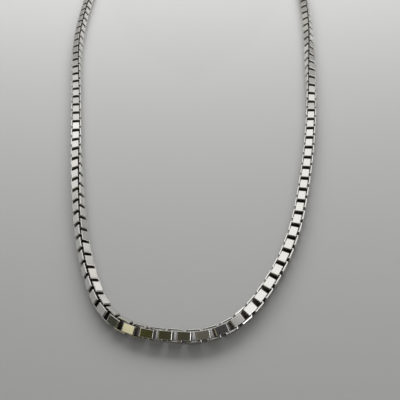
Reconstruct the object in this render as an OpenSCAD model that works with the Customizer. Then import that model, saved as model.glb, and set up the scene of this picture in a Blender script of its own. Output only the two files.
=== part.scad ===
// Box chain necklace, laid down as a closed loop.
// Each link is a flat strip bent into a square sleeve. Neighbouring links are turned a
// quarter about the chain, so that the end wall of each one sits inside the next.
// Millimetres, +Z up, resting on Z = 0. The front of the loop is towards -Y and the
// clasp is at the back. The origin is on the floor under the middle of the loop.

/* [Necklace] */
// Length of the fastened necklace, all the way round
necklace_len = 457; // [440:1:490]

/* [Links] */
// Width and height of the chain over its flats
chain_w = 3; // [2.8:0.1:3.6]
// Length of one link, along the chain
link_len = 3.2; // [3:0.1:3.5]
// Thickness of the strip that a link is bent from
strip_t = 0.35; // [0.3:0.01:0.4]
// Radius outside each of a link's four bends
bend_r = 0.35; // [0.2:0.05:0.5]
// Play on each side of a strip, inside the link that it passes through
side_play = 0.21; // [0.18:0.01:0.26]
// Play along the chain, between the end walls of two links
end_play = 0.5; // [0.46:0.02:0.56]

/* [Jump rings] */
// Thickness of a jump ring's wire
ring_wire = 0.7; // [0.6:0.05:0.8]
// Radius of the hole in a jump ring
ring_hole_r = 1.8; // [1.75:0.05:2.1]

/* [Clasp] */
// Outside diameter of the round clasp
clasp_d = 9; // [8:0.25:11]
// Thickness of the clasp's round tube
clasp_tube = 1.5; // [1.3:0.05:1.6]
// Thickness of the wire of the clasp's eye
eye_wire = 0.8; // [0.7:0.05:0.9]
// Radius of the hole in the clasp's eye
eye_hole_r = 1.1; // [1:0.05:1.4]
// Depth to which the eye is sunk into the tube, where it is soldered
eye_sink = 0.5; // [0.3:0.05:0.6]
// Diameter of the clasp's thumb knob
knob_d = 1; // [0.8:0.1:1.2]
// Height of the knob above the tube
knob_len = 0.9; // [0.6:0.1:1.5]
// Place of the knob round the clasp, in degrees from the side away from the eye
knob_turn = 55; // [30:5:90]

/* [Hidden] */
$fn = 48;

// Route of the chain as it lies, a row for each place where it bends or twists. The
// columns are the distance along the chain from the front link, to the right if it is
// positive; the heading of the chain, in degrees from +X; its roll, the degrees by which
// its outer face has turned from facing up to facing outwards; and its push, the length
// by which each two links are nearer together there than in a chain drawn straight.
ALONG = 0;
HEADING = 1;
ROLL = 2;
PUSH = 3;
ROUTE = [
    [-150, -90, 25, 0], [-132, -86, 24, 0], [-112, -80, 9, 0], [-96, -80, -2, 0],
    [-82, -80, -7, 0], [-68, -79, 11, 0], [-56, -78, 24, 0.01], [-42, -75, 43, 0.02],
    [-30, -69, 57, 0.02], [-23, -64, 52, 0.02], [-17, -49, 45, 0.05], [-10, -22, 36, 0.06],
    [-4, -6, 29, 0], [2, -3, 25, 0], [8, 18, 25, 0.05], [14, 40, 21, 0.06],
    [20, 53, 14, 0], [28, 61, 3, 0], [31, 63, 0, 0], [37, 68, 0, 0],
    [40, 70, -3, 0], [50, 77, -5, 0], [64, 79, -5, 0.02], [80, 82, -8, 0.02],
    [90, 84, -2, 0], [106, 86, 18, 0], [120, 86, 38, 0], [136, 88, 58, 0],
    [150, 90, 68, 0]
];

// Sizes of a link
inside_r = bend_r / 2;
hole_w = chain_w - 2 * strip_t;
hole_len = link_len - 2 * strip_t;
strip_w = hole_w - 2 * side_play;
pitch = hole_len - end_play;

// The jump rings stand on edge, and the clasp lies flat on their wires
loose = 0.15;
rest_gap = 0.2;
ring_r = ring_hole_r + ring_wire / 2;
ring_z = ring_r + ring_wire / 2;
eye_r = eye_hole_r + eye_wire / 2;
clasp_r = (clasp_d - clasp_tube) / 2;
clasp_z = ring_wire + rest_gap + clasp_tube / 2;

// The chain rises to its end links, whose end walls fit in the round of a jump ring
end_drop = 0.2;
end_z = ring_z - end_drop;
rise_len = 16;

// Furthest that a bar of radius r, passing at a height of up from the middle of a jump
// ring's hole, can lie from that middle along the chain
function reach(r, up) = sqrt(pow(ring_hole_r - loose - r, 2) - pow(up, 2));

// Lengths that make up the straight at the back, between the two end links
link_to_ring = hole_len / 2 + reach(0, strip_w / 2 + end_drop);
ring_to_tube = reach(clasp_tube / 2, ring_z - clasp_z);
ring_to_eye = eye_r + reach(eye_wire / 2, ring_z - clasp_z);
eye_to_clasp = eye_r + eye_wire / 2 + clasp_r + clasp_tube / 2 - eye_sink;
back_len = 2 * link_to_ring + ring_to_eye + eye_to_clasp + clasp_r + ring_to_tube;

// Links on each side of the front link, and the length of the chain that they make
half_links = 2 * round((necklace_len - back_len) / (4 * pitch));

// Heading, roll or push at distance s along the chain, read between the rows
function column(rows, s, name) = lookup(s, [for (row = rows) [row[ALONG], row[name]]]);

// Distances of the links on one side along the chain, from the front link; way is 1 or -1
function distances(way) = [
    for (
        i = 0, d = 0;
        i <= half_links + 1;
        d = d + way * (pitch - column(ROUTE, d + way * pitch / 2, PUSH)),
        i = i + 1
    ) d
];
right_dist = distances(1);
left_dist = distances(-1);
function dist(i) = i < 0 ? left_dist[-i] : right_dist[i];
right_len = dist(half_links);
left_len = -dist(-half_links);

// Place that is s along the chain from the front link, summed in short steps
STEPS = 300;
function travel(rows, s) =
    [for (k = [1:STEPS]) 1] * [
        for (k = [1:STEPS])
            let (h = column(rows, s * (k - 0.5) / STEPS, HEADING)) [cos(h), sin(h)]
    ] * (s / STEPS);

// The hidden stretch goes straight back on each side, turns a quarter and meets the clasp
left_end = ROUTE[0];
right_end = ROUTE[len(ROUTE) - 1];
sides = [travel(ROUTE, left_end[ALONG]), travel(ROUTE, right_end[ALONG])];
quarter_r = (sides[1][0] - sides[0][0] - back_len) / 2;
quarter_len = quarter_r * PI / 2;
leg_roll = 30;
WHOLE_ROUTE = concat(
    [[-left_len, -180, 0, 0], [-left_len + quarter_len, -90, leg_roll, 0]],
    ROUTE,
    [[right_len - quarter_len, 90, leg_roll, 0], [right_len, 180, 0, 0]]
);

// Places of the links on one side, from the front link; way is 1 or -1
function walk(way) = [
    for (
        i = 0, p = [0, 0];
        i <= half_links;
        a = dist(way * i),
        b = dist(way * (i + 1)),
        h = column(WHOLE_ROUTE, (a + b) / 2, HEADING),
        p = p + (b - a) * [cos(h), sin(h)],
        i = i + 1
    ) p
];
right_side = walk(1);
left_side = walk(-1);
function flat_place(i) = i < 0 ? left_side[-i] : right_side[i];

// Half the height of the chain at a roll, which is also half its width as it lies
function half_size(roll) =
    max(
        chain_w / 2 * abs(cos(roll)) + strip_w / 2 * abs(sin(roll)),
        strip_w / 2 * abs(cos(roll)) + chain_w / 2 * abs(sin(roll))
    );
function link_roll(i) = column(WHOLE_ROUTE, dist(i), ROLL);
function link_heading(i) = column(WHOLE_ROUTE, dist(i), HEADING);

// Height at which the chain rides, with a smooth rise over the last stretch to a ring
function rise(i) = max(0, 1 - (half_links - abs(i)) * pitch / rise_len);
function smooth(u) = u * u * (3 - 2 * u);
function ride(i) =
    let (low = half_size(link_roll(i)))
    low + (end_z - low) * smooth(rise(i));
function slope(i) =
    let (
        a = max(i - 1, -half_links),
        b = min(i + 1, half_links)
    )
    abs(i) == half_links ? 0 : atan((ride(b) - ride(a)) / (dist(b) - dist(a)));

// Middle of link i; a sloping link sits higher, so that neither end dips below the floor
flat_half = link_len / 2 - bend_r;
function place(i) =
    concat(flat_place(i), [ride(i) + flat_half * sin(abs(slope(i)))]);

// The two ends of the chain, and the straight line between them that the clasp is on
right_last = flat_place(half_links);
left_last = flat_place(-half_links);
back_way = left_last - right_last;
back_turn = atan2(back_way[1], back_way[0]);

// Middle of the loop, from the outer edges of its links and the clasp
all_links = [-half_links:half_links];
low_x = min([for (i = all_links) flat_place(i)[0] - half_size(link_roll(i))]);
high_x = max([for (i = all_links) flat_place(i)[0] + half_size(link_roll(i))]);
low_y = min([for (i = all_links) flat_place(i)[1] - half_size(link_roll(i))]);
clasp_along = link_to_ring + ring_to_eye + eye_to_clasp;
clasp_y = (right_last + clasp_along * back_way / norm(back_way))[1];
high_y = clasp_y + clasp_d / 2;
middle = [(low_x + high_x) / 2, (low_y + high_y) / 2, 0];

// Outline of a square sleeve seen from its open side
module rounded(long, high, r) {
    square([long - 2 * r, high], center = true);
    square([long, high - 2 * r], center = true);
    for (x = [-1, 1], z = [-1, 1])
        translate([x * (long / 2 - r), z * (high / 2 - r)])
            circle(r);
}

// One link along X, its open sides towards Y
module link() {
    rotate([90, 0, 0])
        translate([0, 0, -strip_w / 2])
            linear_extrude(strip_w)
                difference() {
                    rounded(link_len, chain_w, bend_r);
                    rounded(hole_len, hole_w, inside_r);
                }
}

module round_ring(middle_r, wire_r) {
    rotate_extrude()
        translate([middle_r, 0])
            circle(wire_r);
}

// Puts its children on link i, with X along the chain and Z out of the outer face
module on_link(i) {
    translate(place(i) - middle)
        rotate([link_roll(i), -slope(i), link_heading(i)])
            children();
}

// Puts its children on the straight at the back, some way from the right end link
module on_back(along, z) {
    translate(concat(right_last, [z]) - middle)
        rotate([0, 0, back_turn])
            translate([along, 0, 0])
                children();
}

// The chain itself: even links have their open sides up at no roll, odd ones outwards
module box_links() {
    color("silver")
        for (i = all_links)
            on_link(i)
                rotate([abs(i) % 2 == 0 ? 90 : 0, 0, 0])
                    link();
}

module jump_ring(along) {
    color("silver")
        on_back(along, ring_z)
            rotate([90, 0, 0])
                round_ring(ring_r, ring_wire / 2);
}

module jump_ring_right() {
    jump_ring(link_to_ring);
}

module jump_ring_left() {
    jump_ring(norm(back_way) - link_to_ring);
}

// Round clasp in one piece: its tube, the eye soldered to it and the thumb knob
module clasp() {
    color("gainsboro")
        on_back(clasp_along, clasp_z) {
            round_ring(clasp_r, clasp_tube / 2);
            translate([-eye_to_clasp, 0, 0])
                round_ring(eye_r, eye_wire / 2);
            rotate([0, 0, knob_turn])
                translate([clasp_r, 0, 0])
                    rotate([0, 90, 0])
                        cylinder(h = clasp_tube / 2 + knob_len, d = knob_d);
        }
}

box_links();
jump_ring_right();
jump_ring_left();
clasp();
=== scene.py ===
# %% [markdown]
# A box chain necklace on a table
#
# Every link of this chain is a flat silver strip bent into a square sleeve. Neighbouring
# links are turned a quarter, so from any side one link shows its plate and the next one
# its open end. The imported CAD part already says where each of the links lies. This
# lesson reads those places from it, gives each link softer edges and the marks of a
# polishing wheel, and lights the necklace as in the photograph.

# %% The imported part
from math import radians

import bpy
import numpy as np
from mathutils import Matrix, Vector


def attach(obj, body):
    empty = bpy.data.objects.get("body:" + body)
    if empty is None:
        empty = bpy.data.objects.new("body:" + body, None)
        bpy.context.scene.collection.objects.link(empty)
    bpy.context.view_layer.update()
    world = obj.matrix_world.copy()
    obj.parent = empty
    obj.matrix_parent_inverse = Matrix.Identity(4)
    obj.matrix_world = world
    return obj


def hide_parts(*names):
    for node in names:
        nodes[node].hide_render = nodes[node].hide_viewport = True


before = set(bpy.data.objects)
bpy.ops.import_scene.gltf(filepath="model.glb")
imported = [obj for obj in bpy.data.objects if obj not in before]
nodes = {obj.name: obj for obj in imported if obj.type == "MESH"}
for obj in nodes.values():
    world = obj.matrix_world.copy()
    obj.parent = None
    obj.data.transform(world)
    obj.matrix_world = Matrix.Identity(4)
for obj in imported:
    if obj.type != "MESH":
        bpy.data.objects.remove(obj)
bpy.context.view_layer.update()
MM = 0.001

# %% [markdown]
# The camera
#
# The lens stood low over the front of the loop and looked along it, which is why the far
# end of the chain looks half as wide as the near end. The camera's place is a real one,
# in metres from the origin of the part, and so are its angles.

# %% Camera
CAMERA_PLACE = (0.0135, -0.15072, 0.10969)
CAMERA_DOWN = radians(48.56)
CAMERA_TURN = radians(5.0)
CAMERA_ROLL = radians(-4.42)
LENS_MM = 50.22
SENSOR_MM = 36.0


def make_camera():
    """Turns about the upright, looks down from the horizon and rolls, each by its own angle."""
    data = bpy.data.cameras.new("camera")
    data.lens = LENS_MM
    data.sensor_width = SENSOR_MM
    data.clip_start = 0.001
    camera = bpy.data.objects.new("camera", data)
    bpy.context.collection.objects.link(camera)
    camera.matrix_world = (
        Matrix.Translation(CAMERA_PLACE)
        @ Matrix.Rotation(CAMERA_TURN, 4, "Z")
        @ Matrix.Rotation(radians(90) - CAMERA_DOWN, 4, "X")
        @ Matrix.Rotation(CAMERA_ROLL, 4, "Z")
    )
    bpy.context.scene.camera = camera
    return camera


camera = make_camera()
print("camera at", [round(c, 4) for c in camera.location])

# %% [markdown]
# Finding the links
#
# The CAD node is one mesh of loose triangles. Corners at one place are merged first.
# Then every corner takes the lowest number among the corners that it shares a triangle
# with, again and again, until each link has one number of its own. It would also do to
# separate the mesh into objects, but whole arrays are quicker and leave the node alone.

# %% Loose parts of a mesh
MERGE = 0.001 * MM


def read_mesh(node):
    """Places of a node's corners, with doubles merged, and its triangles."""
    mesh = nodes[node].data
    mesh.calc_loop_triangles()
    place = np.empty(len(mesh.vertices) * 3)
    mesh.vertices.foreach_get("co", place)
    corner = np.empty(len(mesh.loop_triangles) * 3, int)
    mesh.loop_triangles.foreach_get("vertices", corner)
    place, same = np.unique(np.round(place.reshape(-1, 3) / MERGE), axis=0, return_inverse=True)
    return place * MERGE, same.reshape(-1)[corner].reshape(-1, 3)


def number_parts(corners, triangles):
    """Number of each triangle's loose part: the lowest number spreads over shared corners."""
    number = np.arange(corners)
    while True:
        lowest = number[triangles].min(1)
        spread = number.copy()
        for k in range(3):
            np.minimum.at(spread, triangles[:, k], lowest)
        if (spread == number).all():
            return np.unique(number[triangles[:, 0]], return_inverse=True)
        number = spread


link_points, link_triangles = read_mesh("box_links")
part_names, part_of = number_parts(len(link_points), link_triangles)
LINKS = len(part_names)
print("links found:", LINKS, "from", len(link_triangles), "triangles")

# %% [markdown]
# Where each link lies
#
# The middle of a link is the mean place of its surface. Its open sides face the way that
# the least of its surface faces, and its plates and end walls face the two ways across
# that. Four equal walls give four equal answers, so the walls' headings are multiplied
# by four before they are averaged, and the answer nearest to the run of the chain is the
# link's own forward direction. The walls are squared in the mean, so that the small facets
# of the bends hardly count.

# %% Middle and directions of each link
FOLD = 4
ROUNDING = 0.01 * MM


def unit(vectors):
    return vectors / np.linalg.norm(vectors, axis=-1, keepdims=True)


def dot(a, b):
    return (a * b).sum(-1)


def add_up(values):
    """Sum of the triangles' values for each link."""
    total = np.zeros((LINKS,) + values.shape[1:])
    np.add.at(total, part_of, values)
    return total


def link_places():
    """Middle, forward, open side and plate side of each link, and their order round the loop."""
    a, b, c = (link_points[link_triangles[:, k]] for k in range(3))
    facing = np.cross(b - a, c - a) / 2
    area = np.linalg.norm(facing, axis=1)
    facing = facing / area[:, None]
    middle = add_up(area[:, None] * (a + b + c) / 3) / add_up(area)[:, None]
    spread = add_up(area[:, None, None] * facing[:, :, None] * facing[:, None, :])
    open_side = np.linalg.eigh(spread)[1][:, :, 0]
    order = np.argsort(np.arctan2(middle[:, 0], -middle[:, 1]))
    along = np.empty_like(middle)
    along[order] = np.roll(middle[order], -1, 0) - np.roll(middle[order], 1, 0)
    along = unit(along - dot(along, open_side)[:, None] * open_side)
    across = np.cross(open_side, along)
    heading = np.arctan2(dot(facing, across[part_of]), dot(facing, along[part_of]))
    level = np.hypot(dot(facing, across[part_of]), dot(facing, along[part_of]))
    turn = np.angle(add_up(area ** 2 * level * np.exp(1j * FOLD * heading))) / FOLD
    forward = np.cos(turn)[:, None] * along + np.sin(turn)[:, None] * across
    outward = np.cross(forward, open_side)
    return middle, forward, open_side, outward, order


def size_along(ways):
    """Twice the furthest that corners lie from a link's middle, one way: the median of all links.

    It is a little less, so that no link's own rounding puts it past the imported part's box."""
    furthest = np.zeros(LINKS)
    np.maximum.at(furthest, part_of, np.abs(dot(a_corner - middles[part_of], ways[part_of])))
    return 2 * np.median(furthest) - ROUNDING


a_corner = link_points[link_triangles[:, 0]]
middles, forwards, open_sides, outwards, order = link_places()
LINK_LENGTH = size_along(forwards)
LINK_HEIGHT = size_along(outwards)
STRIP_WIDTH = size_along(open_sides)
middles, forwards, open_sides, outwards = (v[order] for v in (middles, forwards, open_sides, outwards))
steps = np.linalg.norm(np.diff(middles, axis=0), axis=1)
print("link %.3f mm long and %.3f mm high" % (LINK_LENGTH / MM, LINK_HEIGHT / MM))
print("strip %.3f mm wide" % (STRIP_WIDTH / MM))
print("from link to link %.3f to %.3f mm" % (steps.min() / MM, steps.max() / MM))

# %% [markdown]
# One link
#
# A link is a section carried along a path. The path is a rounded oblong, walked by
# angle: each of its four bends is an arc of three stations, and the plates are what
# joins one bend to the next. The section is the strip, cut square at the back and eased
# at its two outer edges, because a polishing wheel rounds the edges that stand proud. The
# corners carry their own directions for the shading, which spares faces: six dozen of
# them are enough for a link.

# %% Section and path
STRIP_THICK = 0.35 * MM
BEND_OUTSIDE = 0.35 * MM
BEND_INSIDE = BEND_OUTSIDE / 2
EASED = 0.1 * MM
STATIONS_PER_BEND = 3

half = STRIP_WIDTH / 2
SECTION = np.array([
    # depth from the outer face, place across the strip, radius of the bends
    [STRIP_THICK, -half, BEND_INSIDE],
    [STRIP_THICK, half, BEND_INSIDE],
    [EASED, half, BEND_OUTSIDE - EASED],
    [0, half - EASED, BEND_OUTSIDE],
    [0, -half + EASED, BEND_OUTSIDE],
    [EASED, -half, BEND_OUTSIDE - EASED],
])
# Which way each strip of faces looks at its first and its second section point: the part
# away from the link's middle, and the part across the strip. The rims are worn round, so
# the way that they look leans outwards at one edge and inwards at the other
WORN = 0.35
LOOKS = np.array([
    [[-1, 0], [-1, 0]],
    [[-WORN, 1], [WORN, 1]],
    [[WORN, 1], [1, 0]],
    [[1, 0], [1, 0]],
    [[1, 0], [WORN, -1]],
    [[WORN, -1], [-WORN, -1]],
])


def bend_stations():
    """Angle and bend of each station: bend k runs from k quarters to k + 1 quarters of a turn."""
    bend = np.repeat(np.arange(4), STATIONS_PER_BEND)
    share = np.tile(np.linspace(0, 1, STATIONS_PER_BEND), 4)
    return (bend + share) * np.pi / 2, bend


station_turn, station_bend = bend_stations()
ways = np.stack([np.cos(station_turn), np.sin(station_turn)], 1)
print("stations:", len(station_turn), "faces a link:", len(station_turn) * len(SECTION))


def link_shape():
    """Points of one link as stations x section x 3, in its own forward, open and plate directions.

    Point = centre of the bend + its radius * the station's direction. A centre lies its
    radius and its depth in from the two walls that the bend joins. The place across the
    strip is the same all the way round."""
    depth, across, radius = SECTION.T
    quarter = (station_bend + 0.5) * np.pi / 2
    corner = np.sign(np.stack([np.cos(quarter), np.sin(quarter)], 1))
    reach = np.array([LINK_LENGTH, LINK_HEIGHT]) / 2
    centre = corner[:, None] * (reach - (depth + radius)[:, None])
    flat = centre + radius[:, None] * ways[:, None]
    across = np.broadcast_to(across, flat.shape[:2])
    return np.stack([flat[..., 0], across, flat[..., 1]], -1)


def link_corners():
    """Four corners of each face, as numbers of stations and of section points."""
    stations, points = len(station_turn), len(SECTION)
    s, k = np.meshgrid(np.arange(stations), np.arange(points), indexing="ij")
    s = np.stack([s, s, (s + 1) % stations, (s + 1) % stations], -1)
    k_next = (k + 1) % points
    k_both = np.stack([k, k_next, k_next, k], -1)
    return s.reshape(-1, 4), k_both.reshape(-1, 4), np.repeat(k.reshape(-1, 1), 4, 1)


def link_normals(s, strip):
    """Way that each corner looks, in the link's own directions: flat on walls, round at bends."""
    second = np.array([0, 1, 1, 0])[None]
    out, side = np.moveaxis(LOOKS[strip, second], -1, 0)
    return np.stack([out * ways[s, 0], side, out * ways[s, 1]], -1)


# %% [markdown]
# The dark hollows
#
# A polishing wheel never gets inside a link, and neither does a cloth, so the silver
# there tarnishes. The same dark colour is also painted shade where shade falls in the
# hollows, and that is what draws the black bars between the plates. A number on each
# corner says how dark it is: none on the plates and rims, full on the inside of the
# strip and on the two end walls that sit inside the neighbours, and rising on the bends.

# %% Darkness of each corner
END_WALL_START = 0.55
END_WALL_DARK = 1.0
INSIDE = 0
OUTER_FACE = 3


# Painted shade as well as tarnish: the dark colour goes on the hollows and on the bends where they turn
# in towards the neighbours
def link_darkness(s, strip):
    """1 on the inside; on the outer face, the lean of the station to the chain's run, past a start."""
    lean = np.abs(ways[s, 0])
    wall = END_WALL_DARK * np.clip((lean - END_WALL_START) / (1 - END_WALL_START), 0, 1)
    return np.where(strip == INSIDE, 1.0, np.where(strip == OUTER_FACE, wall, 0.0))


# %% [markdown]
# All the links in one mesh
#
# The link's points and directions are laid out once in its own three directions, and
# every link's copy is those numbers times its directions, plus its middle. Stamped
# plates are never quite flat or square, so each link's shine is tipped by a degree or
# so: that is why neighbouring plates in the photograph aren't equally bright.

# %% Chain
TIP = 0.02
SEED = 11


def silver_chain():
    """Fuses all the links: place = middle + forward * x + open side * y + plate side * z."""
    rng = np.random.default_rng(SEED)
    s, k, strip = link_corners()
    own = np.stack([forwards, open_sides, outwards], 1)
    shape = link_shape().reshape(-1, 3)
    points = middles[:, None] + shape @ own
    faces = (s * len(SECTION) + k)[None] + (np.arange(LINKS) * len(shape))[:, None, None]
    looks = link_normals(s, strip).reshape(-1, 3) @ own
    tip = rng.normal(0, TIP, (LINKS, 1, 3))
    looks = unit(looks + np.cross(np.broadcast_to(tip, looks.shape), looks))
    mesh = bpy.data.meshes.new("silver_chain")
    mesh.from_pydata(points.reshape(-1, 3), [], faces.reshape(-1, 4)[:, ::-1])
    looks = looks.reshape(LINKS, -1, 4, 3)[:, :, ::-1]
    # Darkness of each corner: tarnish and painted shade in the hollows
    dark = np.tile(link_darkness(s, strip)[:, ::-1], (LINKS, 1, 1))
    shade = np.broadcast_to(rng.random((LINKS, 1, 1)), dark.shape)
    mesh.shade_smooth()
    mesh.normals_split_custom_set(looks.reshape(-1, 3))
    for name, values in (("darkness", dark), ("link_shade", shade)):
        layer = mesh.attributes.new(name, "FLOAT", "CORNER")
        layer.data.foreach_set("value", np.ascontiguousarray(values, dtype=np.float32).ravel())
    chain = bpy.data.objects.new("silver_chain", mesh)
    bpy.context.collection.objects.link(chain)
    return chain


chain = silver_chain()
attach(chain, "root")
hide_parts("box_links")


def volume(mesh):
    """Six times the volume is the sum of a . (b x c) over triangles whose faces look outwards."""
    mesh.calc_loop_triangles()
    corner = np.empty(len(mesh.loop_triangles) * 3, int)
    mesh.loop_triangles.foreach_get("vertices", corner)
    place = np.empty(len(mesh.vertices) * 3)
    mesh.vertices.foreach_get("co", place)
    a, b, c = np.moveaxis(place.reshape(-1, 3)[corner.reshape(-1, 3)], 1, 0)
    return dot(a, np.cross(b, c)).sum() / 6


print("chain: %d faces, %.1f mm3" % (len(chain.data.polygons), volume(chain.data) / MM ** 3))

# %% [markdown]
# Silver
#
# Polished silver has no colour of its own to speak of: it shows the room. Its reflection
# is nearly white with a touch of warmth, and it is blurred a little by hairline
# scratches, which a stretched noise stands for. Where the darkness number is high the
# metal turns brown-black and loses its shine: partly tarnish, partly painted shade in the
# hollows between the links. The number of each link's shade makes some links a little
# yellower than others.

# %% Materials
SILVER = (0.82, 0.815, 0.80, 1)
YELLOWED = (0.79, 0.775, 0.73, 1)
# Brown-black for tarnish and for painted shade in the hollows and the bars between the plates
TARNISH_AND_SHADE = (0.2, 0.17, 0.145, 1)
SHINE = 0.14
DULL = 0.45
SCRATCH_LENGTHS = (900, 900, 4000)
SCRATCH_DEPTH = 0.000004


def add(tree, kind, **settings):
    node = tree.nodes.new("ShaderNode" + kind)
    for name, value in settings.items():
        setattr(node, name, value)
    return node


def scratches(tree, shader):
    """Fine noise, stretched along one way, that bends the reflections a little."""
    place = add(tree, "TexCoord")
    stretch = add(tree, "Mapping")
    stretch.inputs["Scale"].default_value = SCRATCH_LENGTHS
    noise = add(tree, "TexNoise")
    noise.inputs["Scale"].default_value = 1
    noise.inputs["Detail"].default_value = 3
    bump = add(tree, "Bump")
    bump.inputs["Strength"].default_value = 0.25
    bump.inputs["Distance"].default_value = SCRATCH_DEPTH
    tree.links.new(place.outputs["Object"], stretch.inputs["Vector"])
    tree.links.new(stretch.outputs["Vector"], noise.inputs["Vector"])
    tree.links.new(noise.outputs["Fac"], bump.inputs["Height"])
    tree.links.new(bump.outputs["Normal"], shader.inputs["Normal"])
    return noise


def mixed(tree, share, first, second, kind):
    """Goes from the first to the second with a share of 0 to 1; each is a value, a colour or a socket."""
    mix = add(tree, "Mix", data_type=kind)
    first_slot, second_slot, result = {"FLOAT": (2, 3, 0), "RGBA": (6, 7, 2)}[kind]
    for slot, value in ((first_slot, first), (second_slot, second)):
        if isinstance(value, bpy.types.NodeSocket):
            tree.links.new(value, mix.inputs[slot])
        else:
            mix.inputs[slot].default_value = value
    tree.links.new(share, mix.inputs[0])
    return mix.outputs[result]


def polished_silver():
    """Silver whose colour and roughness follow the darkness number."""
    material = bpy.data.materials.new("polished_silver")
    material.use_nodes = True
    tree = material.node_tree
    shader = tree.nodes["Principled BSDF"]
    shader.inputs["Metallic"].default_value = 1
    dark = add(tree, "Attribute", attribute_name="darkness")
    shade = add(tree, "Attribute", attribute_name="link_shade")
    clean = mixed(tree, shade.outputs["Fac"], SILVER, YELLOWED, "RGBA")
    # Tarnish and painted shade: the brown-black colour follows the darkness number
    colour = mixed(tree, dark.outputs["Fac"], clean, TARNISH_AND_SHADE, "RGBA")
    rough = mixed(tree, dark.outputs["Fac"], SHINE, DULL, "FLOAT")
    tree.links.new(colour, shader.inputs["Base Color"])
    tree.links.new(rough, shader.inputs["Roughness"])
    scratches(tree, shader)
    return material


def plain_silver(name):
    """Silver of one colour, for the round wires that the wheel reaches all over."""
    material = bpy.data.materials.new(name)
    material.use_nodes = True
    shader = material.node_tree.nodes["Principled BSDF"]
    shader.inputs["Metallic"].default_value = 1
    shader.inputs["Base Color"].default_value = SILVER
    shader.inputs["Roughness"].default_value = SHINE
    scratches(material.node_tree, shader)
    return material


chain.data.materials.append(polished_silver())

RING_FINISH = plain_silver("ring_silver")
CLASP_FINISH = plain_silver("clasp_silver")
for name, finish in (
    ("jump_ring_right", RING_FINISH), ("jump_ring_left", RING_FINISH), ("clasp", CLASP_FINISH)
):
    nodes[name].data.materials.clear()
    nodes[name].data.materials.append(finish)
    print(name, "is now", finish.name)

# %% [markdown]
# The table
#
# A plain pale sheet, a little larger than any of the views, on which the lowest links
# rest. It isn't part of the necklace.

# %% Floor
FLOOR_HALF = 2.5
FLOOR_COLOUR = (0.60, 0.60, 0.59, 1)


def make_floor():
    mesh = bpy.data.meshes.new("floor")
    e = FLOOR_HALF
    mesh.from_pydata([(-e, -e, 0), (e, -e, 0), (e, e, 0), (-e, e, 0)], [], [(0, 1, 2, 3)])
    floor = bpy.data.objects.new("floor", mesh)
    bpy.context.collection.objects.link(floor)
    material = bpy.data.materials.new("floor")
    material.use_nodes = True
    shader = material.node_tree.nodes["Principled BSDF"]
    shader.inputs["Base Color"].default_value = FLOOR_COLOUR
    shader.inputs["Roughness"].default_value = 0.6
    mesh.materials.append(material)
    return floor


floor = make_floor()

# %% [markdown]
# The room
#
# Polished metal is lit by what it mirrors, so the room matters more than the lamps. A
# soft panel at the back lights the table and gives the soft shadow. The metal mirrors a
# dome that only reflections see. It is a mid grey with soft patches on it: the bright
# ceiling that whitens the right strand, a window far off, the dark camera side that the
# plates at the front of the loop mirror, and a tall side window that lights their ends.
# Each plate mirrors one small piece of it, so small cards give single plates their colour.

# %% Light
ROOM = 0.2
LIGHT_PLACE = (0.0, 0.155, 0.16)
LIGHT_AIM = (0.0, 0.02, 0.0)
LIGHT_WIDE, LIGHT_TALL = 0.42, 0.14
LIGHT_WATTS = 0.7


def make_room():
    """Even light from everywhere, for the shadows."""
    world = bpy.data.worlds.new("room")
    bpy.context.scene.world = world
    world.use_nodes = True
    world.node_tree.nodes["Background"].inputs["Color"].default_value = (1, 1, 0.99, 1)
    world.node_tree.nodes["Background"].inputs["Strength"].default_value = ROOM


def make_light():
    """A long soft panel at the back, aimed at the necklace. The dome stands for it in reflections."""
    data = bpy.data.lights.new("panel", "AREA")
    data.shape = "RECTANGLE"
    data.size, data.size_y = LIGHT_WIDE, LIGHT_TALL
    data.energy = LIGHT_WATTS
    light = bpy.data.objects.new("panel", data)
    bpy.context.collection.objects.link(light)
    light.location = LIGHT_PLACE
    way = Vector(LIGHT_PLACE) - Vector(LIGHT_AIM)
    light.rotation_euler = way.to_track_quat("Z", "Y").to_euler()
    light.visible_glossy = False


make_room()
make_light()
print("light at", LIGHT_PLACE)

# %% Dome of reflections
DOME_RADIUS = 1.5
DOME_GREY = (0.37, 0.37, 0.365)
# Each patch: heading from the far side towards the right, height above the horizon, half
# its width, half its height and the softness of its edges, all in degrees, then its colour
PATCHES = {
    "ceiling": (30, 62, 75, 30, 12, (1.0, 1.0, 0.985)),
    "ceiling_left": (-30, 40, 26, 7, 8, (1.12, 1.12, 1.1)),
    "left_window": (-51, 24, 9, 12, 8, (0.82, 0.82, 0.80)),
    "ceiling_edge": (-21, 33, 11, 4.5, 5, (0.60, 0.60, 0.59)),
    "left_low": (-58, 8, 8, 12, 8, (0.55, 0.55, 0.54)),
    "far_window": (27, 9, 5, 13, 4, (0.95, 0.95, 0.93)),
    "far_screen": (-23, 14, 6, 9, 5, (0.56, 0.56, 0.54)),
    "camera_side": (-175, 34, 66, 40, 8, (0.055, 0.053, 0.034)),
    "dark_left": (-112, 22, 8, 12, 4, (0.04, 0.042, 0.032)),
    "cream_card": (-131, 38, 10, 9, 4, (0.96, 0.91, 0.58)),
    "olive_card": (-147, 52, 9, 7, 3, (0.033, 0.034, 0.006)),
    "grey_card": (166, 69, 16, 6, 4, (0.145, 0.13, 0.115)),
    "dark_right": (128, 67, 18, 7, 4, (0.03, 0.029, 0.034)),
    "low_right": (95, 6, 26, 12, 6, (0.09, 0.09, 0.08)),
    "side_window": (114, 31, 8, 21, 3, (3.5, 3.5, 3.45)),
}


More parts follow.
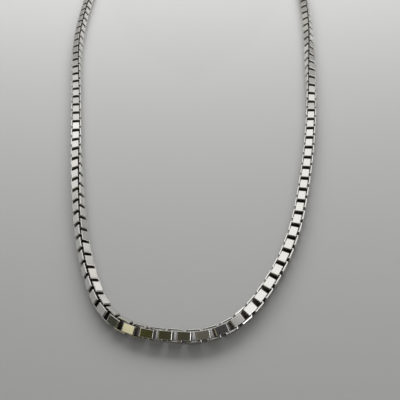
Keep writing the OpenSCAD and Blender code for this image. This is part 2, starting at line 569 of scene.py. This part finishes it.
def edge(distance, half, soft):
    """1 within half of the middle, 0 past it, with a smooth step as wide as the softness."""
    step = np.clip((half + soft / 2 - distance) / soft, 0, 1)
    return step * step * (3 - 2 * step)


def glow(heading, height):
    """Colour of the dome: each patch in turn covers what is there by the product of its two edges."""
    colour = np.ones(heading.shape + (3,)) * DOME_GREY
    for where_heading, where_height, wide, tall, soft, patch in PATCHES.values():
        off = np.abs((heading - where_heading + 180) % 360 - 180)
        cover = edge(off, wide, soft) * edge(np.abs(height - where_height), tall, soft)
        colour += cover[..., None] * (patch - colour)
    return colour


def make_dome():
    """Half a sphere by heading and height, coloured by its points, that shows in reflections only."""
    turns, rises = np.arange(0, 360, 2.0), np.arange(-2, 90, 2.0)
    heading, height = np.meshgrid(turns, rises, indexing="ij")
    h, e = np.radians(heading), np.radians(height)
    points = DOME_RADIUS * np.stack([np.sin(h) * np.cos(e), np.cos(h) * np.cos(e), np.sin(e)], -1)
    number = np.arange(h.size).reshape(h.shape)
    after = np.roll(number, -1, 0)
    faces = np.stack([number[:, :-1], number[:, 1:], after[:, 1:], after[:, :-1]], -1)
    mesh = bpy.data.meshes.new("dome")
    mesh.from_pydata(points.reshape(-1, 3), [], faces.reshape(-1, 4))
    layer = mesh.attributes.new("glow", "FLOAT_VECTOR", "POINT")
    layer.data.foreach_set("vector", glow(heading, height).astype(np.float32).ravel())
    dome = bpy.data.objects.new("dome", mesh)
    bpy.context.collection.objects.link(dome)
    material = bpy.data.materials.new("dome")
    material.use_nodes = True
    tree = material.node_tree
    tree.nodes.remove(tree.nodes["Principled BSDF"])
    light = add(tree, "Emission")
    read = add(tree, "Attribute", attribute_name="glow")
    tree.links.new(read.outputs["Vector"], light.inputs["Color"])
    tree.links.new(light.outputs["Emission"], tree.nodes["Material Output"].inputs["Surface"])
    mesh.materials.append(material)
    dome.visible_camera = dome.visible_diffuse = dome.visible_shadow = False
    dome.visible_transmission = dome.visible_volume_scatter = False
    return dome


dome = make_dome()
print("dome:", len(dome.data.polygons), "faces,", len(PATCHES), "patches")

bpy.context.scene.view_settings.view_transform = "Standard"
